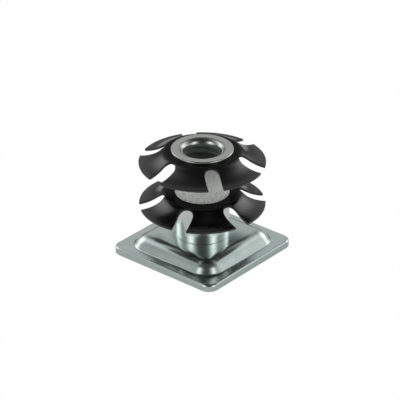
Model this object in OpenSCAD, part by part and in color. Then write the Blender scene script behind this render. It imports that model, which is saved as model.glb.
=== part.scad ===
// Threaded caster insert for the end of a square tube.
// A pressed plate stops the tube, two slotted star washers grip its walls, and a threaded sleeve
// clamps plate, spacers and stars in one stack under its flared top.
// Units are millimetres, +Z is up along the sleeve, and z = 0 is the underside of the plate's rim.

/* [Plate] */
// Side of the square plate, the same as the tube's outside
plate_side = 38.1; // [34:0.1:50]
// Thickness of the pressed sheet
plate_t = 2.25; // [1.5:0.05:2.4]
// Radius of the plate's corners, seen from above
plate_corner_r = 3.3; // [2:0.1:5]
// Rounding of the rim's upper edge
rim_top_r = 0.7; // [0.3:0.05:1]
// Rounding of the rim's lower edge
rim_bottom_r = 0.3; // [0.1:0.05:0.5]
// Width of the flat rim that the tube's end stands on
rim_w = 3.2; // [2:0.1:4]

/* [Plateau] */
// Height of the raised square above the rim
plateau_rise = 3.35; // [3.25:0.05:4.5]
// Radius of its corners where the flat top ends, seen from above
plateau_corner_r = 0.8; // [0.3:0.1:2]
// Inside radius of the bend from its flat top to its wall
plateau_bend_r = 1.15; // [0.5:0.05:2]
// Slope of its wall at the foot, from the horizontal
plateau_wall_angle = 54; // [48:1:62]

/* [Sleeve] */
// Crest diameter of the internal thread, which is the bore's wall here
thread_minor_d = 10.7; // [9:0.05:11]
// Outside diameter of the barrel
barrel_d = 14.4; // [14:0.1:14.8]
// Width of the flange under the plate, out from the barrel
flange_w = 2.3; // [2:0.05:4]
// Depth of the flange's face inside the recess, up from the rim's underside
flange_inset = 0.35; // [0.2:0.05:1]
// Width of the ring flared over the upper star, out from the barrel
flare_w = 1.95; // [1.5:0.05:2.8]
// Thickness of that ring
flare_t = 0.8; // [0.6:0.05:1]
// Radius of the round lip between that ring and the thread
lip_r = 1.85; // [1:0.05:2.2]
// Rounding of the flare's outer edge
flare_edge_r = 0.3; // [0.1:0.05:0.35]
// Depth of the lead-in at the thread's lower end
lead_in = 0.8; // [0.4:0.05:1]

/* [Spacers] */
// Wall of both spacer tubes
spacer_wall = 0.6375; // [0.5:0.0125:1]
// Length of each spacer tube
spacer_len = 12.7; // [11:0.1:16]
// Rounding of the tubes' ends, inside and outside
spacer_edge_r = 0.2; // [0.1:0.05:0.25]

/* [Stars] */
// Diameter across the tips of each star
star_d = 36.9; // [34:0.1:38]
// Thickness of the spring sheet
star_t = 0.7; // [0.5:0.05:1]
// Flat band of a star outside the flared ring, before the downward bend
star_flat_w = 1.13; // [0.5:0.01:1.6]
// Radius of the downward bend, on the upper face
star_bend_r = 3; // [2:0.1:3.5]
// Steepest slope of an arm, from the horizontal
star_slope = 40; // [34:1:44]
// Slope of an arm at its tip
star_tip_slope = 6; // [3:1:10]
// Arms on each star
star_arms = 6; // [5:1:8]
// Width of the slots between the arms
slot_w = 4.35; // [3:0.05:5]
// Distance from the start of the bend to a slot's inner end
slot_setback = 0.8; // [0.3:0.05:2]
// Turn of the upper star's slots from the plate's side
upper_turn = 22.6; // [0:0.1:60]
// Turn of the lower star's slots from the plate's side
lower_turn = 48.6; // [0:0.1:60]

/* [Fits] */
// Clearance round the barrel in the plate, the spacers and the stars
barrel_clearance = 0.1; // [0.05:0.05:0.15]

/* [Hidden] */
$fn = 96;
eps = 0.01;

// The stack, from the rim's underside to the top of the flare
plateau_top = plate_t + plateau_rise;
recess_top = plateau_top - plate_t;
lower_star_z = plateau_top + spacer_len;
upper_spacer_z = lower_star_z + star_t;
upper_star_z = upper_spacer_z + spacer_len;
flare_z = upper_star_z + star_t;
sleeve_top = flare_z + flare_t;

// Half sides of the plate, and of the raised square at its foot and where its flat top ends
plate_half = plate_side/2;
foot_half = plate_half - rim_w;
plateau_edge_r = plate_t + plateau_bend_r;
shoulder_y = plateau_top - plateau_edge_r;
wall_drop = plateau_rise - plateau_edge_r*(1 - cos(plateau_wall_angle));
top_half = foot_half - wall_drop/tan(plateau_wall_angle) - plateau_edge_r*sin(plateau_wall_angle);
plateau_corner = top_half - plateau_corner_r;

barrel_r = barrel_d/2;
through_r = barrel_r + barrel_clearance;
bore_r = thread_minor_d/2;
flange_r = barrel_r + flange_w;
flare_r = barrel_r + flare_w;

// An arm's section: a convex bend and then a hollow flare, tangent where they meet
star_r = star_d/2;
star_flat_r = flare_r + star_flat_w;
flare_start_r = star_flat_r + star_bend_r*sin(star_slope);
flare_start_drop = star_bend_r*(1 - cos(star_slope));
hollow_r = (star_r - flare_start_r)/(sin(star_slope) - sin(star_tip_slope));
hollow_x = flare_start_r + hollow_r*sin(star_slope);
hollow_y = star_t - flare_start_drop + hollow_r*cos(star_slope);

zinc = [0.70, 0.73, 0.72];
dull_zinc = [0.62, 0.64, 0.63];
black_oxide = [0.10, 0.10, 0.11];

// A rectangle from the axis to width w, with its outer corners rounded below and above
module slab_section(w, h, bottom_r, top_r) {
    translate([0, bottom_r]) square([w, h - bottom_r - top_r]);
    square([w - bottom_r, h/2]);
    translate([0, h/2]) square([w - top_r, h/2]);
    translate([w - bottom_r, bottom_r]) circle(bottom_r);
    translate([w - top_r, h - top_r]) circle(top_r);
}

// The round shoulder between the raised square's flat top and its sloping wall
module shoulder(r) {
    reach = 2*r;
    translate([top_half, shoulder_y]) intersection() {
        circle(r);
        polygon([[0, 0], [reach*sin(plateau_wall_angle), reach*cos(plateau_wall_angle)],
                 [reach, reach], [0, reach]]);
    }
}

// Where a shoulder of radius r runs into the sloping wall
function shoulder_end(r) =
    [top_half + r*sin(plateau_wall_angle), shoulder_y + r*cos(plateau_wall_angle)];

// Section of the raised square's outside: foot, sloping wall, round shoulder and flat top.
// Its straight part reaches into the shoulder, so the two overlap.
module plateau_section() {
    polygon([[0, 0], [foot_half, 0], [foot_half, plate_t], shoulder_end(plateau_edge_r),
             [top_half, plateau_top], [0, plateau_top]]);
    shoulder(plateau_edge_r);
}

// Section of the recess below it, one sheet thickness inside the raised square.
// The sheet bends sharply at the foot, so the recess's mouth is rounded about that crease.
module recess_section() {
    wall_start = [foot_half - plate_t*sin(plateau_wall_angle), plate_t*(1 - cos(plateau_wall_angle))];
    difference() {
        polygon([[0, -1], [foot_half, -1], [foot_half, plate_t/2], wall_start,
                 shoulder_end(plateau_bend_r), [top_half, recess_top], [0, recess_top]]);
        translate([foot_half, plate_t]) circle(plate_t);
    }
    shoulder(plateau_bend_r);
}

// Sweeps a section round a square whose corners are rounded about centres at the given distance
module square_sweep(centre) {
    for (quarter = [0:3]) rotate(90*quarter) {
        translate([0, centre, 0]) rotate([90, 0, 0]) linear_extrude(2*centre) children();
        translate([centre, centre, 0]) rotate_extrude(angle = 90) intersection() {
            translate([-centre, 0]) children();
            translate([0, -plate_side]) square([plate_side, 2*plate_side]);
        }
    }
}

module base_plate() color(zinc) difference() {
    union() {
        square_sweep(plate_half - plate_corner_r)
            slab_section(plate_half, plate_t, rim_bottom_r, rim_top_r);
        square_sweep(plateau_corner) plateau_section();
    }
    square_sweep(plateau_corner) recess_section();
    translate([0, 0, -eps]) cylinder(r = through_r, h = plateau_top + 2*eps);
}

// Half section of the sleeve: flange, barrel and the flare with its round lip and edge
module sleeve_section() {
    difference() {
        union() {
            translate([0, flange_inset]) square([flange_r, recess_top - flange_inset]);
            translate([0, flange_inset]) square([barrel_r, flare_z - flange_inset]);
            translate([0, flare_z]) square([flare_r - flare_edge_r, flare_t]);
            translate([0, flare_z]) square([flare_r, flare_t - flare_edge_r]);
            translate([flare_r - flare_edge_r, sleeve_top - flare_edge_r]) circle(flare_edge_r);
        }
        translate([-eps, 0]) square([bore_r + eps, sleeve_top + eps]);
        polygon([[0, flange_inset - eps], [bore_r + lead_in + eps, flange_inset - eps],
                 [bore_r, flange_inset + lead_in], [0, flange_inset + lead_in]]);
        difference() {
            translate([bore_r - eps, sleeve_top - lip_r]) square([lip_r + eps, lip_r + eps]);
            translate([bore_r + lip_r, sleeve_top - lip_r]) circle(lip_r);
        }
    }
}

module threaded_sleeve() color(zinc) rotate_extrude() sleeve_section();

// Half section of a spacer tube with its four edges rounded
module spacer_section() {
    inset = spacer_edge_r;
    translate([through_r, inset]) square([spacer_wall, spacer_len - 2*inset]);
    translate([through_r + inset, 0]) square([spacer_wall - 2*inset, spacer_len]);
    for (x = [inset, spacer_wall - inset], y = [inset, spacer_len - inset])
        translate([through_r + x, y]) circle(inset);
}

module lower_spacer() color(zinc)
    translate([0, 0, plateau_top]) rotate_extrude() spacer_section();

module upper_spacer() color(dull_zinc)
    translate([0, 0, upper_spacer_z]) rotate_extrude() spacer_section();

// A band of thickness star_t between two directions, about a centre on the section
module arc_band(outer_r, from, to) {
    reach = 2*outer_r;
    intersection() {
        difference() {
            circle(outer_r);
            circle(outer_r - star_t);
        }
        polygon([[0, 0], [reach*cos(from), reach*sin(from)], [reach*cos(to), reach*sin(to)]]);
    }
}

// Half section of a star before it is slotted, with its flat middle from 0 to star_t
module star_section() {
    translate([through_r, 0]) square([star_flat_r - through_r, star_t]);
    translate([star_flat_r, star_t - star_bend_r]) arc_band(star_bend_r, 90, 90 - star_slope);
    translate([hollow_x, hollow_y])
        arc_band(hollow_r + star_t, 270 - star_slope, 270 - star_tip_slope, $fn = 360);
}

module star_washer(turn) {
    slot_end = star_flat_r + slot_setback + slot_w/2;
    depth = star_d;
    difference() {
        rotate_extrude() star_section();
        for (arm = [0:star_arms - 1]) rotate(turn + arm*360/star_arms) {
            translate([slot_end, 0, -depth/2]) cylinder(d = slot_w, h = depth);
            translate([slot_end, -slot_w/2, -depth/2]) cube([star_d, slot_w, depth]);
        }
    }
}

module lower_star() color(black_oxide) translate([0, 0, lower_star_z]) star_washer(lower_turn);

module upper_star() color(black_oxide) translate([0, 0, upper_star_z]) star_washer(upper_turn);

base_plate();
threaded_sleeve();
lower_spacer();
lower_star();
upper_spacer();
upper_star();
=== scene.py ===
"""Threaded caster insert for a square tube: zinc plate, threaded sleeve, two spacers, two black stars.

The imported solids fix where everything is. Each piece here is modelled again with its small edges,
its thread and its finish, and stands for the solid of the same name.
"""
import math

import bmesh
import bpy
from mathutils import Matrix, Vector


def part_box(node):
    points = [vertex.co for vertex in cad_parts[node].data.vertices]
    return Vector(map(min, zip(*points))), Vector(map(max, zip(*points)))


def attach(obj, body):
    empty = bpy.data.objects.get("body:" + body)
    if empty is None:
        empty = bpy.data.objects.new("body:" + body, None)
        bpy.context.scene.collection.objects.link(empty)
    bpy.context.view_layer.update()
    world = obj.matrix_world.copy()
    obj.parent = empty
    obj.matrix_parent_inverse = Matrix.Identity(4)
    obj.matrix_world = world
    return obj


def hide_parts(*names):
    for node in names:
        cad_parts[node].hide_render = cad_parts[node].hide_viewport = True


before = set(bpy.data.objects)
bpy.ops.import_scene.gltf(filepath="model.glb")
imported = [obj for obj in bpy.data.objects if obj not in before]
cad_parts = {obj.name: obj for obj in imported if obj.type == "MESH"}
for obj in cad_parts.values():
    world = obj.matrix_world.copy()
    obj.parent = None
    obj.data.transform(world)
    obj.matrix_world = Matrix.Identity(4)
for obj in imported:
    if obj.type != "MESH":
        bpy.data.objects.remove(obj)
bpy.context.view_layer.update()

MM = 0.001
WELD = 1e-6

# Sizes of the plate, in metres, as in the solids
PLATE_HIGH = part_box("base_plate")[1]
PLATE_HALF = PLATE_HIGH[0]
PLATEAU_TOP = PLATE_HIGH[2]
PLATE_T = 2.25*MM
PLATE_CORNER_R = 3.3*MM
RIM_TOP_R = 0.7*MM
RIM_BOTTOM_R = 0.3*MM
RIM_W = 3.2*MM
PLATEAU_CORNER_R = 0.8*MM
PLATEAU_BEND_R = 1.15*MM
WALL_ANGLE = math.radians(54)
PLATEAU_SHOULDER_R = PLATE_T + PLATEAU_BEND_R
RECESS_TOP = PLATEAU_TOP - PLATE_T

# The plateau's outer edges, a little softer here than in the solids
SOFT_FOOT_R = 0.8*MM
SOFT_SHOULDER_R = 4.6*MM
SOFT_CORNER = 0.8*MM

# Sizes of the sleeve and its thread
SLEEVE_LOW, SLEEVE_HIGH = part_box("threaded_sleeve")
SLEEVE_TOP = SLEEVE_HIGH[2]
FLANGE_R = SLEEVE_HIGH[0]
FLANGE_BOTTOM = SLEEVE_LOW[2]
FLANGE_EDGE_R = 0.2*MM
BARREL_R = 7.2*MM
FLARE_R = 9.15*MM
FLARE_T = 0.8*MM
FLARE_EDGE_R = 0.3*MM
LIP_R = 1.85*MM
LEAD_IN = 0.8*MM
THREAD_CREST_R = 5.35*MM
THREAD_ROOT_R = 6.35*MM
THREAD_PITCH = 1.954*MM
THREAD_ROOT_FLAT = THREAD_PITCH/8
THREAD_HALF_ANGLE = math.radians(30)
THREAD_TURNS = 16
THREAD_END = SLEEVE_TOP - 1.7*MM
THREAD_RUN_OUT = 1.2*MM
CUTTER_R = THREAD_CREST_R - 0.4*MM
THREAD_FADED_R = CUTTER_R + 0.2*MM

# Sizes of the spacers and the stars
SPACER_LOW, SPACER_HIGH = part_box("lower_spacer")
SPACER_R = SPACER_HIGH[0]
SPACER_EDGE_R = 0.2*MM
SLEEVE_FIT = 0.1*MM
THROUGH_R = BARREL_R + SLEEVE_FIT
STAR_T = 0.7*MM
STAR_R = 18.45*MM
STAR_FLAT_R = FLARE_R + 1.13*MM
STAR_BEND_R = 3*MM
STAR_SLOPE = math.radians(40)
STAR_TIP_SLOPE = math.radians(6)
STAR_ARMS = 6
STAR_EDGE = 0.09*MM
STAR_EDGE_MATERIAL = 1
STAR_WELD = 0.04*MM
STAR_SHARP = math.radians(50)
SLOT_W = 4.35*MM
SLOT_END = STAR_FLAT_R + 0.8*MM + SLOT_W/2
SLOT_CUT_PAST = 2*MM
SLOT_CUT_BELOW = 6*MM
SLOT_CUT_H = 8*MM
UPPER_TURN = math.radians(22.6)
LOWER_TURN = math.radians(48.6)

# Heights in the stack
LOWER_STAR_Z = SPACER_HIGH[2]
UPPER_SPACER_Z = LOWER_STAR_Z + STAR_T
UPPER_STAR_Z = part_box("upper_spacer")[1][2]
FLARE_Z = SLEEVE_TOP - FLARE_T

# How finely round shapes are cut, and how they are shaded
CORNER_STEPS = 12
RIM_TOP_STEPS = 8
RIM_BOTTOM_STEPS = 5
FOOT_STEPS = 6
SHOULDER_STEPS = 18
RECESS_STEPS = 10
ROUND_STEPS = 160
FLANGE_STEPS = 4
FLARE_STEPS = 6
LIP_STEPS = 16
THREAD_STEPS = 72
SPACER_STEPS = 5
STAR_STEPS = 240
BEND_STEPS = 8
HOLLOW_STEPS = 16
SLOT_STEPS = 24
EDGE_SEGMENTS = 2
SMOOTH_ANGLE = math.radians(35)
FLAT_WEIGHT = 80


# Modelling helpers

def arc(centre, radius, start_deg, end_deg, steps):
    """Points of a section's round stretch, as (distance from the axis, height)."""
    turns = [math.radians(start_deg + (end_deg - start_deg)*i/steps) for i in range(steps + 1)]
    return [(centre[0] + radius*math.cos(t), centre[1] + radius*math.sin(t)) for t in turns]


def start_loop(name, places, filled=False):
    """A closed loop of edges through the given places."""
    bpy.ops.object.select_all(action="DESELECT")
    fill = "NGON" if filled else "NOTHING"
    bpy.ops.mesh.primitive_circle_add(vertices=len(places), fill_type=fill)
    piece = bpy.context.object
    piece.name = piece.data.name = name
    for vertex, place in zip(piece.data.vertices, places):
        vertex.co = place
    return piece


def pick(piece):
    """Makes one object the only one selected, and the active one."""
    bpy.ops.object.select_all(action="DESELECT")
    piece.select_set(True)
    bpy.context.view_layer.objects.active = piece


def edit(piece, kind="VERT"):
    """Opens one piece in edit mode with everything selected."""
    pick(piece)
    bpy.ops.object.mode_set(mode="EDIT")
    bpy.ops.mesh.select_mode(type=kind)
    bpy.ops.mesh.select_all(action="SELECT")


def close_edit(weld=WELD):
    """Welds what meets, turns all faces outwards and leaves edit mode."""
    bpy.ops.mesh.select_all(action="SELECT")
    bpy.ops.mesh.remove_doubles(threshold=weld)
    bpy.ops.mesh.normals_make_consistent(inside=False)
    bpy.ops.object.mode_set(mode="OBJECT")


def select_where(piece, test):
    """In edit mode, selects only what lies between vertices whose places pass the test."""
    bpy.ops.mesh.select_all(action="DESELECT")
    mesh = bmesh.from_edit_mesh(piece.data)
    for vertex in mesh.verts:
        vertex.select = test(vertex.co)
    mesh.select_flush(True)
    bmesh.update_edit_mesh(piece.data)


def extrude_up(height):
    """In edit mode, extrudes what is selected along Z."""
    bpy.ops.mesh.extrude_region_move(TRANSFORM_OT_translate={"value": (0, 0, height)})


def revolve(name, section, steps=ROUND_STEPS):
    """Spins a closed section, given as (distance from the axis, height), round the Z axis."""
    piece = start_loop(name, [(r, 0, z) for r, z in section])
    edit(piece)
    bpy.ops.mesh.spin(steps=steps, angle=math.tau, center=(0, 0, 0), axis=(0, 0, 1))
    close_edit()
    return piece


def apply_modifier(piece, kind, **settings):
    """Adds one modifier to a piece and applies it."""
    pick(piece)
    modifier = piece.modifiers.new(kind.lower(), kind)
    for key, value in settings.items():
        setattr(modifier, key, value)
    bpy.ops.object.modifier_apply(modifier=modifier.name)


def cut_away(piece, tool):
    """Cuts one closed shape out of another and removes the tool."""
    apply_modifier(piece, "BOOLEAN", object=tool, operation="DIFFERENCE", solver="EXACT")
    bpy.data.objects.remove(tool)


def smooth(piece):
    """Smooth shading over all but sharp edges, with flat faces kept flat."""
    pick(piece)
    bpy.ops.object.shade_smooth_by_angle(angle=SMOOTH_ANGLE)
    apply_modifier(piece, "WEIGHTED_NORMAL", keep_sharp=True, mode="FACE_AREA", weight=FLAT_WEIGHT)


def copy_piece(piece, name, turn=0.0, lift=0.0):
    """A copy with its own mesh, turned round the Z axis and lifted."""
    pick(piece)
    bpy.ops.object.duplicate()
    copy = bpy.context.object
    copy.name = copy.data.name = name
    copy.rotation_euler.z = turn
    copy.location.z = lift
    bpy.ops.object.transform_apply(location=True, rotation=True, scale=True)
    return copy


# Plate

def rounded_square(name, half, corner_r, height):
    """A level square face with rounded corners, left open in edit mode with the face selected."""
    bpy.ops.object.select_all(action="DESELECT")
    bpy.ops.mesh.primitive_plane_add(size=2*half, location=(0, 0, height))
    piece = bpy.context.object
    piece.name = piece.data.name = name
    bpy.ops.object.transform_apply(location=True, rotation=False, scale=False)
    edit(piece)
    bpy.ops.mesh.bevel(offset=corner_r, offset_type="OFFSET", segments=CORNER_STEPS, profile=0.5,
                       affect="VERTICES")
    bpy.ops.mesh.select_mode(type="FACE")
    bpy.ops.mesh.select_all(action="SELECT")
    return piece


def inset_along(section):
    """Insets the selected face along a section, given as (half side, height) from point to point."""
    for (x0, y0), (x1, y1) in zip(section, section[1:]):
        bpy.ops.mesh.inset(thickness=x0 - x1, depth=abs(y1 - y0), use_even_offset=True)


def leave_open():
    """Takes away the selected face but not its edges, and leaves edit mode."""
    bpy.ops.mesh.delete(type="ONLY_FACE")
    bpy.ops.object.mode_set(mode="OBJECT")


def shoulder_inset(shoulder_r):
    """How far inside the foot of the plateau's wall a shoulder of this radius has its centre."""
    straight = PLATEAU_TOP - PLATE_T - shoulder_r*(1 - math.cos(WALL_ANGLE))
    return straight/math.tan(WALL_ANGLE) + shoulder_r*math.sin(WALL_ANGLE)


def fill_level(piece, height):
    """Fills the flat band between the two rings of edges that lie at the same height."""
    select_where(piece, lambda place: abs(place.z - height) < 2*WELD)
    bpy.ops.mesh.fill()


def make_base_plate():
    """The pressed square plate: a rounded rim, the raised square with its soft shoulder, the recess."""
    foot_half = PLATE_HALF - RIM_W
    top_half = foot_half - shoulder_inset(PLATEAU_SHOULDER_R)
    soft_half = foot_half - shoulder_inset(SOFT_SHOULDER_R)
    foot_corner_r = foot_half - top_half + PLATEAU_CORNER_R
    wall_deg = 90 - math.degrees(WALL_ANGLE)

    rim = rounded_square("base_plate_zinc", PLATE_HALF, PLATE_CORNER_R, RIM_BOTTOM_R)
    extrude_up(PLATE_T - RIM_BOTTOM_R - RIM_TOP_R)
    inset_along(arc((PLATE_HALF - RIM_TOP_R, PLATE_T - RIM_TOP_R), RIM_TOP_R, 0, 90, RIM_TOP_STEPS))
    bpy.ops.mesh.delete(type="ONLY_FACE")
    select_where(rim, lambda place: abs(place.z - RIM_BOTTOM_R) < WELD)
    leave_open()

    under = rounded_square("rim_underside", PLATE_HALF, PLATE_CORNER_R, RIM_BOTTOM_R)
    bpy.ops.mesh.flip_normals()
    inset_along(arc((PLATE_HALF - RIM_BOTTOM_R, RIM_BOTTOM_R), RIM_BOTTOM_R, 0, -90, RIM_BOTTOM_STEPS))
    leave_open()

    spread = SOFT_FOOT_R*math.tan(WALL_ANGLE/2)
    soft_corner_r = foot_corner_r + spread + SOFT_CORNER
    foot = (foot_half + spread, PLATE_T + SOFT_FOOT_R)
    shoulder = (soft_half, PLATEAU_TOP - SOFT_SHOULDER_R)
    raised = rounded_square("raised_square", foot_half + spread, soft_corner_r, PLATE_T)
    inset_along(arc(foot, SOFT_FOOT_R, 270, 180 + wall_deg, FOOT_STEPS)
                + arc(shoulder, SOFT_SHOULDER_R, wall_deg, 90, SHOULDER_STEPS))
    leave_open()

    bend = (top_half, PLATEAU_TOP - PLATEAU_SHOULDER_R)
    recess = rounded_square("recess", foot_half, foot_corner_r, 0)
    inset_along(arc((foot_half, PLATE_T), PLATE_T, 270, 180 + wall_deg, RECESS_STEPS)
                + arc(bend, PLATEAU_BEND_R, wall_deg, 90, RECESS_STEPS))
    leave_open()

    corners = 4*(CORNER_STEPS + 1)
    turns = [math.tau*(i + 0.5)/corners for i in range(corners)]
    places = [(THROUGH_R*math.cos(t), THROUGH_R*math.sin(t), RECESS_TOP) for t in turns]
    hole = start_loop("hole", places)
    edit(hole, "EDGE")
    extrude_up(PLATEAU_TOP - RECESS_TOP)
    bpy.ops.object.mode_set(mode="OBJECT")

    pick(rim)
    for part in (under, raised, recess, hole):
        part.select_set(True)
    bpy.ops.object.join()
    edit(rim, "EDGE")
    bpy.ops.mesh.remove_doubles(threshold=WELD)
    for height in (0, PLATE_T, RECESS_TOP, PLATEAU_TOP):
        fill_level(rim, height)
    close_edit()
    smooth(rim)
    return rim


# Sleeve

def make_thread_cutter():
    """A ridge wound up the bore, which fades out under the lip."""
    reach = THREAD_ROOT_R - CUTTER_R
    root = THREAD_ROOT_FLAT/2
    wide = root + reach*math.tan(THREAD_HALF_ANGLE)
    start = THREAD_END - THREAD_TURNS*THREAD_PITCH
    ridge = [(CUTTER_R, 0, start - wide), (THREAD_ROOT_R, 0, start - root),
             (THREAD_ROOT_R, 0, start + root), (CUTTER_R, 0, start + wide)]
    cutter = start_loop("thread_cutter", ridge)
    apply_modifier(cutter, "SCREW", axis="Z", angle=math.tau, screw_offset=THREAD_PITCH,
                   iterations=THREAD_TURNS, steps=THREAD_STEPS, render_steps=THREAD_STEPS)
    for vertex in cutter.data.vertices:
        radius = vertex.co.xy.length
        faded = (vertex.co.z - THREAD_END + THREAD_RUN_OUT)/THREAD_RUN_OUT
        if radius > THREAD_CREST_R and faded > 0:
            shallow = THREAD_ROOT_R - min(1, faded)*(THREAD_ROOT_R - THREAD_FADED_R)
            vertex.co.xy *= shallow/radius
    edit(cutter)
    bpy.ops.mesh.fill_holes(sides=0)
    close_edit()
    return cutter


def make_sleeve():
    """The turned sleeve: flange below, flare with a round lip on top, and its thread."""
    flange_low = (FLANGE_R - FLANGE_EDGE_R, FLANGE_BOTTOM + FLANGE_EDGE_R)
    flange_high = (FLANGE_R - FLANGE_EDGE_R, RECESS_TOP - FLANGE_EDGE_R)
    flare_edge = (FLARE_R - FLARE_EDGE_R, SLEEVE_TOP - FLARE_EDGE_R)
    lip = (THREAD_CREST_R + LIP_R, SLEEVE_TOP - LIP_R)
    section = [(THREAD_CREST_R + LEAD_IN, FLANGE_BOTTOM)]
    section += arc(flange_low, FLANGE_EDGE_R, -90, 0, FLANGE_STEPS)
    section += arc(flange_high, FLANGE_EDGE_R, 0, 90, FLANGE_STEPS)
    section += [(BARREL_R, RECESS_TOP), (BARREL_R, FLARE_Z), (FLARE_R, FLARE_Z)]
    section += arc(flare_edge, FLARE_EDGE_R, 0, 90, FLARE_STEPS)
    section += arc(lip, LIP_R, 90, 180, LIP_STEPS)
    section += [(THREAD_CREST_R, FLANGE_BOTTOM + LEAD_IN)]
    sleeve = revolve("threaded_sleeve_zinc", section)
    cut_away(sleeve, make_thread_cutter())
    smooth(sleeve)
    return sleeve


# Spacers

def make_spacer(name, bottom, top):
    """A spacer tube with its ends rounded inside and outside."""
    inner = THROUGH_R + SPACER_EDGE_R
    outer = SPACER_R - SPACER_EDGE_R
    low = bottom + SPACER_EDGE_R
    high = top - SPACER_EDGE_R
    centres = ((outer, low), (outer, high), (inner, high), (inner, low))
    section = []
    for turn_deg, centre in zip((-90, 0, 90, 180), centres):
        section += arc(centre, SPACER_EDGE_R, turn_deg, turn_deg + 90, SPACER_STEPS)
    spacer = revolve(name, section)
    smooth(spacer)
    return spacer


# Stars

def star_section():
    """Half section of a star: flat middle, downward bend and hollow flare to the tip."""
    slope = math.degrees(STAR_SLOPE)
    tip = math.degrees(STAR_TIP_SLOPE)
    top = LOWER_STAR_Z + STAR_T
    bend = (STAR_FLAT_R, top - STAR_BEND_R)
    flare_r = STAR_FLAT_R + STAR_BEND_R*math.sin(STAR_SLOPE)
    hollow_r = (STAR_R - flare_r)/(math.sin(STAR_SLOPE) - math.sin(STAR_TIP_SLOPE))
    hollow = (flare_r + hollow_r*math.sin(STAR_SLOPE),
              top - STAR_BEND_R*(1 - math.cos(STAR_SLOPE)) + hollow_r*math.cos(STAR_SLOPE))

    def face(depth):
        bent = arc(bend, STAR_BEND_R - depth, 90, 90 - slope, BEND_STEPS)
        return bent[:-1] + arc(hollow, hollow_r + depth, 270 - slope, 270 - tip, HOLLOW_STEPS)

    return [(THROUGH_R, LOWER_STAR_Z), (THROUGH_R, top)] + face(0) + face(STAR_T)[::-1]


def make_slot_cutter():
    """Six upright bars with round inner ends, one for each slot."""
    reach = STAR_R + SLOT_CUT_PAST
    bottom = LOWER_STAR_Z - SLOT_CUT_BELOW
    round_end = arc((SLOT_END, 0), SLOT_W/2, 90, 270, SLOT_STEPS)
    outline = [(reach, SLOT_W/2)] + round_end + [(reach, -SLOT_W/2)]
    cutter = start_loop("slot_cutter", [(x, y, bottom) for x, y in outline], filled=True)
    edit(cutter, "FACE")
    extrude_up(SLOT_CUT_H)
    bpy.ops.mesh.select_all(action="SELECT")
    bpy.ops.mesh.spin(steps=STAR_ARMS - 1, dupli=True, angle=math.tau*(STAR_ARMS - 1)/STAR_ARMS,
                      center=(0, 0, 0), axis=(0, 0, 1))
    close_edit()
    return cutter


def make_star(name):
    """A star with its slots along the X axis and every sixth of a turn, at the lower star's height."""
    star = revolve(name, star_section(), STAR_STEPS)
    cut_away(star, make_slot_cutter())
    edit(star, "EDGE")
    bpy.ops.mesh.remove_doubles(threshold=STAR_WELD)
    bpy.ops.mesh.select_all(action="DESELECT")
    bpy.ops.mesh.edges_select_sharp(sharpness=STAR_SHARP)
    # The bevelled cut edges take the second material, which carries a painted highlight
    bpy.ops.mesh.bevel(offset=STAR_EDGE, segments=EDGE_SEGMENTS, affect="EDGES", clamp_overlap=False,
                       material=STAR_EDGE_MATERIAL)
    close_edit(weld=2*WELD)
    return star


# Finishes

class Wire:
    """An output socket. Sums on it add Math nodes to its sheet."""

    def __init__(self, sheet, socket):
        self.sheet = sheet
        self.socket = socket

    def maths(self, operation, *values):
        return self.sheet.node("ShaderNodeMath", {"operation": operation}, dict(enumerate(values)))

    def __add__(self, other):
        return self.maths("ADD", self, other)

    def __radd__(self, other):
        return self.maths("ADD", other, self)

    def __sub__(self, other):
        return self.maths("SUBTRACT", self, other)

    def __rsub__(self, other):
        return self.maths("SUBTRACT", other, self)

    def __mul__(self, other):
        return self.maths("MULTIPLY", self, other)

    def __rmul__(self, other):
        return self.maths("MULTIPLY", other, self)


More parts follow.
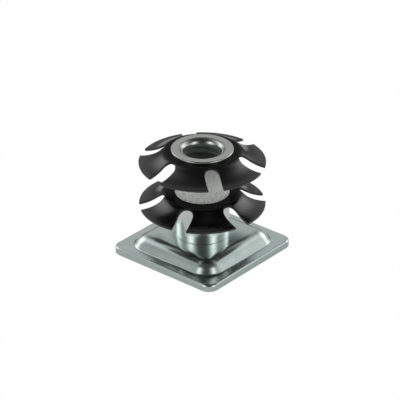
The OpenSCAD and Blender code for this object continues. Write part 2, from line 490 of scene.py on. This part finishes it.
class Sheet:
    """The node tree of a material or of the world."""

    def __init__(self, owner):
        owner.use_nodes = True
        self.owner = owner
        self.tree = owner.node_tree
        self.tree.nodes.clear()

    def node(self, kind, settings=None, sockets=None, out=0):
        """Adds one node, sets it up and links it, and gives one of its outputs."""
        made = self.tree.nodes.new(kind)
        for name, value in (settings or {}).items():
            setattr(made, name, value)
        for key, value in (sockets or {}).items():
            if isinstance(value, Wire):
                self.tree.links.new(value.socket, made.inputs[key])
            else:
                made.inputs[key].default_value = value
        return Wire(self, made.outputs[out]) if made.outputs else None

    def place(self):
        """Object coordinates, in metres."""
        return self.node("ShaderNodeTexCoord", out="Object")

    def height(self, vector):
        """Height along the Z axis."""
        return self.node("ShaderNodeSeparateXYZ", None, {"Vector": vector}, out="Z")

    def radius(self, vector):
        """Distance from the Z axis."""
        flat = self.stretch(vector, (1.0, 1.0, 0.0))
        return self.node("ShaderNodeVectorMath", {"operation": "LENGTH"}, {0: flat}, out="Value")

    def rings(self, radius, scale):
        """Fine uneven rings about the Z axis."""
        return self.node("ShaderNodeTexNoise", {"noise_dimensions": "1D"},
                         {"W": radius, "Scale": scale, "Detail": 2.0})

    def stretch(self, vector, scale):
        """A place scaled along each axis."""
        return self.node("ShaderNodeMapping", None, {"Vector": vector, "Scale": scale})

    def noise(self, vector, scale, detail=3.0, roughness=0.55):
        """Soft uneven patches."""
        return self.node("ShaderNodeTexNoise", None,
                         {"Vector": vector, "Scale": scale, "Detail": detail, "Roughness": roughness})

    def ramp(self, value, low, high, start=0.0, end=1.0):
        """A soft step from start to end as the value goes from low to high."""
        return self.node("ShaderNodeMapRange", {"interpolation_type": "SMOOTHSTEP"},
                         {"Value": value, "From Min": low, "From Max": high,
                          "To Min": start, "To Max": end})

    def blend(self, factor, first, second):
        """A colour between two colours."""
        return self.node("ShaderNodeMix", {"data_type": "RGBA"},
                         {"Factor": factor, 6: first, 7: second}, out=2)

    def bump(self, height, strength, distance):
        """A normal tilted by small hills and hollows."""
        return self.node("ShaderNodeBump", None,
                         {"Height": height, "Strength": strength, "Distance": distance})

    def ray(self, kind):
        """One for rays of a kind, and nought for others."""
        return self.node("ShaderNodeLightPath", out=f"Is {kind} Ray")

    def dot(self, vector, direction):
        """How far a vector reaches along a direction."""
        return self.node("ShaderNodeVectorMath", {"operation": "DOT_PRODUCT"},
                         {0: vector, 1: direction}, out="Value")

    def surface(self, **sockets):
        """Ends the sheet in a Principled surface. Names use _ for a space."""
        named = {name.replace("_", " "): value for name, value in sockets.items()}
        shader = self.node("ShaderNodeBsdfPrincipled", None, named)
        self.node("ShaderNodeOutputMaterial", None, {"Surface": shader})
        return self.owner


def new_sheet(name):
    """A new material's empty node tree."""
    return Sheet(bpy.data.materials.new(name))


def colour(red, green, blue):
    """An opaque colour."""
    return (red, green, blue, 1.0)


def bright_zinc():
    """Bright zinc plating on pressed sheet: a cool tint, soft clouds and faint rubbing."""
    sheet = new_sheet("bright_zinc_plating")
    place = sheet.place()
    cool = colour(0.55, 0.65, 0.625)
    pale = colour(0.61, 0.69, 0.665)
    clouds = sheet.noise(place, scale=260.0)
    grain = sheet.noise(place, scale=2600.0, detail=2.0)
    rubbed = sheet.noise(sheet.stretch(place, (1.0, 6.0, 1.0)), scale=500.0, detail=4.0)
    tint = sheet.blend(sheet.ramp(clouds, 0.35, 0.65), cool, pale)
    rough = 0.18 + clouds*0.06 + rubbed*0.06
    hills = sheet.bump(clouds*0.85 + grain*0.15, strength=0.014, distance=0.2*MM)
    return sheet.surface(Base_Color=tint, Metallic=1.0, Roughness=rough, Normal=hills)


def turned_zinc():
    """Zinc on a turned face: fine rings about the axis over soft clouds, and a dull dark thread."""
    sheet = new_sheet("turned_zinc_plating")
    place = sheet.place()
    radius = sheet.radius(place)
    grey = colour(0.45, 0.48, 0.44)
    pale = colour(0.52, 0.55, 0.51)
    line = colour(0.36, 0.39, 0.35)
    dark = colour(0.21, 0.26, 0.23)
    rings = sheet.rings(radius, scale=5000.0)
    clouds = sheet.noise(place, scale=420.0)
    below_lip = sheet.ramp(sheet.height(place), SLEEVE_TOP - 2.1*MM, SLEEVE_TOP - 1.2*MM, 1.0, 0.0)
    in_bore = sheet.ramp(radius, THREAD_ROOT_R + 0.1*MM, BARREL_R - 0.2*MM, 1.0, 0.0)
    inside = below_lip*in_bore
    turned = sheet.blend(clouds, grey, pale)
    lined = sheet.blend(sheet.ramp(rings, 0.3, 0.7)*0.5, turned, line)
    tint = sheet.blend(inside, lined, dark)
    rough = 0.12 + clouds*0.06 + rings*0.08 + inside*0.4
    hills = sheet.bump(rings*0.5 + clouds*0.5, strength=0.06, distance=0.15*MM)
    return sheet.surface(Base_Color=tint, Metallic=1.0 - inside*0.7, Roughness=rough, Normal=hills)


def bright_tube():
    """Bright zinc on drawn tube: faint upright draw lines."""
    sheet = new_sheet("bright_tube_plating")
    place = sheet.place()
    cool = colour(0.74, 0.80, 0.78)
    pale = colour(0.80, 0.85, 0.83)
    drawn = sheet.noise(sheet.stretch(place, (1.0, 1.0, 0.03)), scale=1400.0)
    clouds = sheet.noise(place, scale=300.0)
    tint = sheet.blend(clouds, cool, pale)
    rough = 0.12 + drawn*0.05 + clouds*0.04
    hills = sheet.bump(drawn*0.6 + clouds*0.4, strength=0.03, distance=0.15*MM)
    return sheet.surface(Base_Color=tint, Metallic=1.0, Roughness=rough, Normal=hills)


def dull_tube():
    """Dull mottled zinc: cloudy patches and dark specks, thickest near the lower end."""
    sheet = new_sheet("dull_tube_plating")
    place = sheet.place()
    cool = colour(0.80, 0.86, 0.80)
    pale = colour(0.95, 0.98, 0.93)
    dark = colour(0.16, 0.17, 0.15)
    mottle = sheet.noise(place, scale=700.0, detail=4.0, roughness=0.65)
    drawn = sheet.noise(sheet.stretch(place, (1.0, 1.0, 0.05)), scale=1300.0)
    flecks = sheet.noise(sheet.stretch(place, (1.0, 1.0, 0.6)), scale=1700.0, detail=4.0, roughness=0.65)
    speck = sheet.ramp(flecks, 0.49, 0.74)
    low = sheet.ramp(sheet.height(place), UPPER_SPACER_Z, UPPER_SPACER_Z + 5.0*MM, 1.0, 0.1)
    mottled = sheet.blend(sheet.ramp(mottle, 0.3, 0.7), cool, pale)
    tint = sheet.blend(speck*low, mottled, dark)
    rough = 0.36 + mottle*0.2 + drawn*0.06
    hills = sheet.bump(mottle*0.7 + drawn*0.3, strength=0.12, distance=0.2*MM)
    return sheet.surface(Base_Color=tint, Metallic=0.1, Roughness=rough, Normal=hills)


def black_spring_steel():
    """Satin black oxide on spring sheet, nearly matt on the flat middle and the start of the bend."""
    sheet = new_sheet("satin_black_oxide")
    place = sheet.place()
    deep = colour(0.003, 0.003, 0.003)
    lighter_patches = colour(0.007, 0.007, 0.008)
    matt_near_black = colour(0.005, 0.005, 0.0055)
    clouds = sheet.noise(place, scale=240.0)
    grain = sheet.noise(place, scale=3200.0, detail=2.0)
    radius = sheet.radius(place)
    rings = sheet.rings(radius, scale=2600.0)
    hub = sheet.ramp(radius, STAR_FLAT_R, STAR_FLAT_R + 2.4*MM, 0.85, 0.0)
    tint = sheet.blend(clouds, deep, lighter_patches)
    rough = 0.11 + clouds*0.06 + grain*0.04 + sheet.ramp(rings, 0.45, 0.75)*0.08
    hills = sheet.bump(grain*0.6 + clouds*0.4, strength=0.05, distance=0.1*MM)
    satin = sheet.node("ShaderNodeBsdfPrincipled", None,
                       {"Base Color": tint, "Metallic": 0.0, "Roughness": rough,
                        "Specular IOR Level": 0.8, "Normal": hills})
    # On the flat middle and the start of the bend the satin gives way to a matt near-black without gloss
    matt = sheet.node("ShaderNodeBsdfDiffuse", None, {"Color": matt_near_black})
    mixed = sheet.node("ShaderNodeMixShader", None, {0: hub, 1: satin, 2: matt})
    sheet.node("ShaderNodeOutputMaterial", None, {"Surface": mixed})
    return sheet.owner


def painted_highlight_edge():
    """The cut edges of the spring sheet, painted a little brighter than its faces, in patches: a painted
    highlight where they catch the light.
    """
    sheet = new_sheet("black_edge_with_painted_highlight")
    place = sheet.place()
    deep = colour(0.010, 0.010, 0.011)
    # A lighter bluish tint for the painted highlight on the cut edges
    painted_highlight_tint = colour(0.05, 0.055, 0.06)
    lighter_patches = sheet.noise(place, scale=900.0)
    tint = sheet.blend(sheet.ramp(lighter_patches, 0.35, 0.7), deep, painted_highlight_tint)
    return sheet.surface(Base_Color=tint, Metallic=0.0, Roughness=0.3 + lighter_patches*0.1)


# Camera, light and floor

# Where the camera stands (turn from the front and rise, in degrees) and what it looks at
CAMERA_TURN = 40.22
CAMERA_RISE = 29.54
CAMERA_DISTANCE = 0.6737
CAMERA_AIM = Vector((-0.000515, -0.000436, 0.01618))
CAMERA_ROLL = math.radians(-0.095)
CAMERA_LENS = 205.7

# Soft boxes in the tent: turn from the camera, rise, half width (all in degrees) and brightness
BASE_GLOW = 0.07
SOFT_BOXES = ((-49, 32, 10, 2.2), (48, 32, 10, 2.2), (-50, 5, 15, 2.8), (50, 5, 15, 2.8),
              (-80, 24, 17, 0.4), (95, 19, 17, 0.85), (180, 28, 17, 0.74),
              (-119, 53, 13, 0.8), (126, 46, 10, 0.45), (-120, 8, 11, 1.2), (120, 8, 11, 1.2))

# White walls at the back of the tent, which glow too, and which metal sees partly as plain white
WALLS = ((-125, 27, 14, 0.55), (131, 25, 13, 0.55))
WALL_GLOW = 6.0

# The floor: its own tint, and how far the camera and metal see it as plain white
FLOOR_SIZE = 4.0
FLOOR_DROP = 0.01*MM
FLOOR_TINT = 0.82
FLOOR_WHITE = 0.985
FLOOR_IN_METAL = 0.3


def from_camera(turn_deg, rise_deg):
    """A direction, turned from the camera's side and raised from the horizon."""
    turn = math.radians(CAMERA_TURN + turn_deg)
    rise = math.radians(rise_deg)
    return Vector((math.sin(turn)*math.cos(rise), -math.cos(turn)*math.cos(rise), math.sin(rise)))


def make_camera():
    """A long lens at the photograph's viewing angle."""
    eye = from_camera(0, CAMERA_RISE)*CAMERA_DISTANCE
    data = bpy.data.cameras.new("camera")
    data.lens = CAMERA_LENS
    camera = bpy.data.objects.new("camera", data)
    bpy.context.scene.collection.objects.link(camera)
    camera.rotation_mode = "QUATERNION"
    camera.location = eye
    look = (CAMERA_AIM - eye).to_track_quat("-Z", "Y")
    camera.rotation_quaternion = look @ Matrix.Rotation(CAMERA_ROLL, 3, "Z").to_quaternion()
    bpy.context.scene.camera = camera


def make_studio():
    """A white tent with soft boxes at the sides and behind, dim overhead and round the camera."""
    world = bpy.data.worlds.new("studio")
    bpy.context.scene.world = world
    sheet = Sheet(world)
    look = sheet.node("ShaderNodeTexCoord", out="Generated")

    def soft_box(turn_deg, rise_deg, half_deg, peak):
        """A round glow that falls to half its peak at its half width."""
        sharp = math.log(2)/(1 - math.cos(math.radians(half_deg)))
        away = (sheet.dot(look, from_camera(turn_deg, rise_deg)) - 1.0)*sharp
        return away.maths("EXPONENT", away)*peak

    walls = sum(soft_box(*wall) for wall in WALLS)
    glow = sum((soft_box(*box) for box in SOFT_BOXES), BASE_GLOW) + walls*WALL_GLOW
    light = sheet.node("ShaderNodeBackground", None, {"Strength": glow})
    white = sheet.node("ShaderNodeBackground", None, {"Color": colour(1, 1, 1), "Strength": 1.0})
    factor = sheet.ray("Camera") + (sheet.ray("Glossy") + sheet.ray("Transmission"))*walls
    mixed = sheet.node("ShaderNodeMixShader", None, {0: factor, 1: light, 2: white})
    sheet.node("ShaderNodeOutputWorld", None, {"Surface": mixed})


def make_floor():
    """A pale floor just under the plate, which the camera sees as nearly plain white."""
    bpy.ops.object.select_all(action="DESELECT")
    bpy.ops.mesh.primitive_plane_add(size=FLOOR_SIZE, location=(0, 0, -FLOOR_DROP))
    floor = bpy.context.object
    floor.name = "floor"
    sheet = new_sheet("pale_floor")
    tint = colour(FLOOR_TINT, FLOOR_TINT, FLOOR_TINT)
    matt = sheet.node("ShaderNodeBsdfDiffuse", None, {"Color": tint})
    white = sheet.node("ShaderNodeEmission", None, {"Color": colour(1, 1, 1), "Strength": 1.0})
    in_metal = sheet.ray("Glossy") + sheet.ray("Transmission")
    factor = sheet.ray("Camera")*FLOOR_WHITE + in_metal*FLOOR_IN_METAL
    mixed = sheet.node("ShaderNodeMixShader", None, {0: factor, 1: matt, 2: white})
    sheet.node("ShaderNodeOutputMaterial", None, {"Surface": mixed})
    floor.data.materials.append(sheet.owner)


def fit_out(piece, node, slot, *materials):
    """Gives a piece its finish, hangs it under the root body and hides the solid it stands for."""
    piece.data.materials.clear()
    for material in materials:
        piece.data.materials.append(material)
    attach(piece, "root")
    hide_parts(node)


bpy.context.scene.view_settings.view_transform = "Standard"
make_camera()
make_studio()
make_floor()

fit_out(make_base_plate(), "base_plate", "plate_zinc", bright_zinc())
fit_out(make_sleeve(), "threaded_sleeve", "sleeve_zinc", turned_zinc())

lower_spacer = make_spacer("lower_spacer_tube", SPACER_LOW[2], SPACER_HIGH[2])
upper_spacer = copy_piece(lower_spacer, "upper_spacer_tube", lift=UPPER_SPACER_Z - SPACER_LOW[2])
fit_out(lower_spacer, "lower_spacer", "bright_spacer", bright_tube())
fit_out(upper_spacer, "upper_spacer", "dull_spacer", dull_tube())

black = black_spring_steel()
# The finish of the stars' cut edges, with its painted highlight
edge = painted_highlight_edge()
star = make_star("star")
lower_star = copy_piece(star, "lower_star_washer", turn=LOWER_TURN)
upper_star = copy_piece(star, "upper_star_washer", turn=UPPER_TURN, lift=UPPER_STAR_Z - LOWER_STAR_Z)
bpy.data.objects.remove(star)
for washer, node in ((lower_star, "lower_star"), (upper_star, "upper_star")):
    smooth(washer)
    fit_out(washer, node, "black_spring_steel", black, edge)
